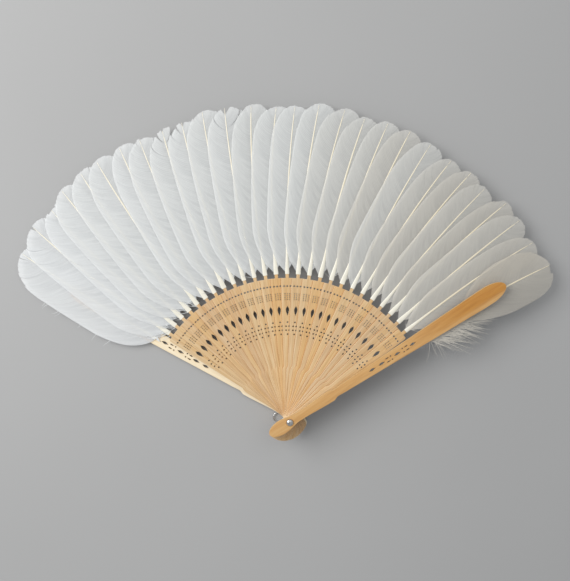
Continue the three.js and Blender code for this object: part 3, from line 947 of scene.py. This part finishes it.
def makeFeather(node, body, slot, shape, place):
    luck = random.Random(shape["seed"] + slot)
    feather = shapedFeather(shape, slot, luck)
    bm = bmesh.new()
    bm.loops.layers.uv.new("barbs")
    for hand in (-1, 1):
        addVane(bm, feather, hand, luck)
    addDown(bm, feather, luck)
    if node == "feather_front":
        addPlume(bm, feather, luck)
    under = bmesh.ops.extrude_face_region(bm, geom=bm.faces[:])["geom"]
    bmesh.ops.translate(bm, verts=vertsIn(under), vec=(0, 0, -featherLook["thickness"] * mm))
    bmesh.ops.recalc_face_normals(bm, faces=bm.faces[:])
    addRachis(bm, feather)
    play = luck.uniform(-featherLook["tonePlay"], featherLook["tonePlay"])
    # the vane tone follows the slot, so the feathers towards the right get the darker warm painted shade
    markFeather(bm, min(1, max(0, slot / lastSlot + play)))
    finishPiece(bm, f"{node}_plume", body, node, (vaneWhite, quillHorn, downWhite), place,
                creaseAngle=60)


def makeFeathers():
    rearHeight = midHeight(stickNodes[0]) - slotPitch
    frontHeight = midHeight(stickNodes[-1]) + slotPitch
    place = bladePlace("rear_guard", rearHeight)
    makeFeather("feather_rear", "rear_guard", 0, rearFeather, place)
    for slot, node in enumerate(stickNodes, 1):
        label = node.split("_")[1]
        place = bladePlace(node, midHeight(node))
        makeFeather(f"feather_{label}", f"blade_{label}", slot, innerFeather, place)
    place = bladePlace("front_guard", frontHeight)
    makeFeather("feather_front", "front_guard", lastSlot, frontFeather, place)


makeFeathers()
print("feathers made")


# Rivet, turned from profiles, and the wire loop bent round its shank; lengths in mm
rivetLook = dict(
    shankRadius=1.5, shankEngagement=0.9, shankFit=0.05, shankEdge=0.1,
    headRadius=3, headThickness=0.9, headEdge=0.25, headCurve=0.07, headBack=0.1,
    domeRadius=2.65, domeRim=0.35, domeEdge=0.12, domeSteps=10,
    segments=48, mergeWithin=0.001, creaseAngle=50,
)
loopLook = dict(
    wire=0.8, gap=0.15, eyePlay=0.3, wide=8, reach=12, angle=206, sides=14, bowSteps=30, eyeSteps=20,
)


def turnProfile(points):
    bm = bmesh.new()
    verts = [bm.verts.new((radius * mm, 0, height * mm)) for radius, height in points]
    edges = [bm.edges.new(pair) for pair in zip(verts, verts[1:])]
    bmesh.ops.spin(bm, geom=verts + edges, cent=(0, 0, 0), axis=(0, 0, 1), angle=2 * math.pi,
                   steps=rivetLook["segments"], use_merge=True, use_duplicate=False)
    bmesh.ops.remove_doubles(bm, verts=bm.verts[:], dist=rivetLook["mergeWithin"] * mm)
    bmesh.ops.recalc_face_normals(bm, faces=bm.faces[:])
    return bm


def makeRivet():
    look = rivetLook
    low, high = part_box("rivet_cap")
    base, top = low.z / mm, high.z / mm
    bore = look["shankRadius"] + look["shankFit"]
    floor = base + look["shankEngagement"] + look["shankFit"]
    dome = [(0, floor), (bore, floor), (bore, base), (look["domeRadius"] - look["domeEdge"], base),
            (look["domeRadius"], base + look["domeEdge"])]
    for i in range(1, look["domeSteps"]):
        turn = math.pi / 2 * i / look["domeSteps"]
        height = base + look["domeRim"] + (top - base - look["domeRim"]) * math.sin(turn)
        dome.append((look["domeRadius"] * math.cos(turn), height))
    dome.append((0, top))
    finishPiece(turnProfile(dome), "rivet_dome", "rear_guard", "rivet_cap", (rivetSilver,),
                creaseAngle=look["creaseAngle"])
    end = base + look["shankEngagement"]
    rim, back, shank = look["headRadius"], look["headThickness"], look["shankRadius"]
    pin = [(0, 0), (rim - look["headEdge"], 0), (rim - look["headCurve"], look["headCurve"]),
           (rim, look["headEdge"]), (rim, back - look["headBack"]), (rim - look["headBack"], back),
           (shank, back), (shank, end - look["shankEdge"]), (shank - look["shankEdge"], end), (0, end)]
    finishPiece(turnProfile(pin), "rivet_shank", "rear_guard", "rivet_pin", (rivetSilver,),
                creaseAngle=look["creaseAngle"])


def makeLoop():
    # a wide bow and a narrow eye, joined by two straight legs that lean towards the eye
    look = loopLook
    radius = look["wire"] / 2
    eye = rivetLook["shankRadius"] + look["eyePlay"] + radius
    wide = (look["wide"] - look["wire"]) / 2
    far = look["reach"] - radius - wide
    lean = math.asin((wide - eye) / far)
    height = rivetLook["headThickness"] + look["gap"] + radius
    bm = bmesh.new()
    place = Matrix.Translation((far * mm, 0, height * mm)) @ Matrix.Rotation(-math.pi / 2 - lean, 4, "Z")
    place = place @ Matrix.Translation((wide * mm, 0, 0)) @ Matrix.Rotation(math.pi / 2, 4, "X")
    start = bmesh.ops.create_circle(bm, cap_ends=False, segments=look["sides"], radius=radius * mm,
                                    matrix=place)["verts"]
    bent = bmesh.ops.spin(bm, geom=start + edgesAt(start), cent=(far * mm, 0, 0), axis=(0, 0, 1),
                          angle=math.pi + 2 * lean, steps=look["bowSteps"])
    grown = bmesh.ops.extrude_edge_only(bm, edges=edgesIn(bent["geom_last"]))["geom"]
    ends = vertsIn(grown)
    step = Vector((-far + (eye - wide) * math.sin(-lean), (eye - wide) * math.cos(lean), 0)) * mm
    bmesh.ops.translate(bm, verts=ends, vec=step)
    bent = bmesh.ops.spin(bm, geom=ends + edgesWithin(edgesIn(grown), ends), cent=(0, 0, 0), axis=(0, 0, 1),
                          angle=math.pi - 2 * lean, steps=look["eyeSteps"])
    bmesh.ops.bridge_loops(bm, edges=edgesIn(bent["geom_last"]) + edgesWithin(edgesAt(start), start))
    bmesh.ops.recalc_face_normals(bm, faces=bm.faces[:])
    finishPiece(bm, "tassel_loop_wire", "tassel_loop", "tassel_loop", (wireSteel,),
                Matrix.Rotation(math.radians(look["angle"]), 4, "Z"), creaseAngle=60)


makeRivet()
makeLoop()
print("rivet and loop made")


# Pale floor and soft light
stageLook = dict(
    floorSize=4, floorDrop=0.0002, floorDark=(0.385, 0.388, 0.392), floorPale=(0.405, 0.408, 0.412),
    floorScale=3, floorDetail=3, floorNoiseRough=0.5, floorStops=(0.3, 0.7), floorRough=0.85,
    worldColour=(0.95, 0.975, 1.0), worldStrength=0.42, aim=(0, 0.1, 0),
    keySpot=(-0.8, 0.55, 0.95), keySize=0.8, keyPower=14.9, keyColour=(1, 0.985, 0.96),
    fillSpot=(0.4, 0.9, 1.8), fillSize=1.4, fillPower=5, fillColour=(1, 0.96, 0.9),
)


def makeStage():
    look = stageLook
    bm = bmesh.new()
    bmesh.ops.create_grid(bm, x_segments=1, y_segments=1, size=look["floorSize"] / 2)
    bmesh.ops.translate(bm, verts=bm.verts[:], vec=(0, 0, -look["floorDrop"]))
    mesh = bpy.data.meshes.new("floor")
    bm.to_mesh(mesh)
    bm.free()
    material, tree, shader = newMaterial("floorPaper")
    mottle = evenNoise(tree, look["floorScale"], look["floorDetail"], look["floorNoiseRough"])
    colour = rampNode(tree, mottle, look["floorStops"], (look["floorDark"], look["floorPale"]))
    tree.links.new(colour, shader.inputs["Base Color"])
    shader.inputs["Roughness"].default_value = look["floorRough"]
    mesh.materials.append(material)
    floor = bpy.data.objects.new("floor", mesh)
    bpy.context.scene.collection.objects.link(floor)
    for name in ("key", "fill"):
        data = bpy.data.lights.new(name + "Light", "AREA")
        data.size = look[name + "Size"]
        data.energy = look[name + "Power"]
        data.color = look[name + "Colour"]
        lamp = bpy.data.objects.new(name + "Light", data)
        spot = Vector(look[name + "Spot"])
        lamp.location = spot
        lamp.rotation_euler = (Vector(look["aim"]) - spot).to_track_quat("-Z", "Y").to_euler()
        bpy.context.scene.collection.objects.link(lamp)
    world = bpy.data.worlds.new("softRoom")
    world.use_nodes = True
    backdrop = world.node_tree.nodes["Background"]
    backdrop.inputs["Color"].default_value = (*look["worldColour"], 1)
    backdrop.inputs["Strength"].default_value = look["worldStrength"]
    bpy.context.scene.world = world


makeStage()
bpy.context.scene.view_settings.view_transform = "Standard"
